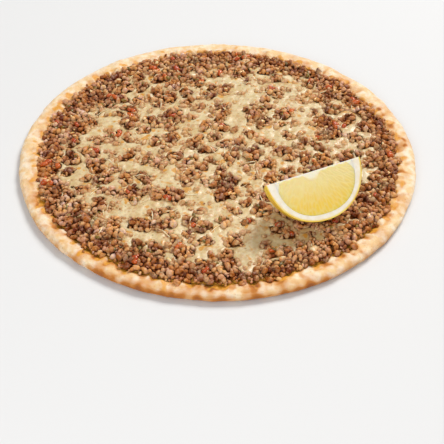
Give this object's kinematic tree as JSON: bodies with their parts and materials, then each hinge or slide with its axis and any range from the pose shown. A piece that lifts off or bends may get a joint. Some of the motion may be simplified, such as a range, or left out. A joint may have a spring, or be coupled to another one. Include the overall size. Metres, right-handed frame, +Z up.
{
  "type": "cheese lahmacun",
  "caption": "Round thin flatbread topped with crumbled minced meat and melted cheese, with a wedge of lemon resting on it.",
  "frame": {"origin": "middle of the bread's flat underside", "axes": "+Z up out of the bread's top; -Y towards the front, where the picture's camera stands; +X to the right of that view"},
  "size_m": [0.2997, 0.2998, 0.0451],
  "materials": {
    "dough": "baked dough, matt, cream with brown patches",
    "mince": "cooked mince, moist, brown with bits of red pepper and parsley",
    "cheese": "melted cheese, soft sheen, pale straw colour",
    "lemon": "fresh lemon, moist flesh, white pith and waxy yellow rind"
  },
  "bodies": {
    "root": {"flatbread": "dough", "mince": "mince", "cheese": "cheese", "lemon_wedge": "lemon"}
  },
  "joints": []
}
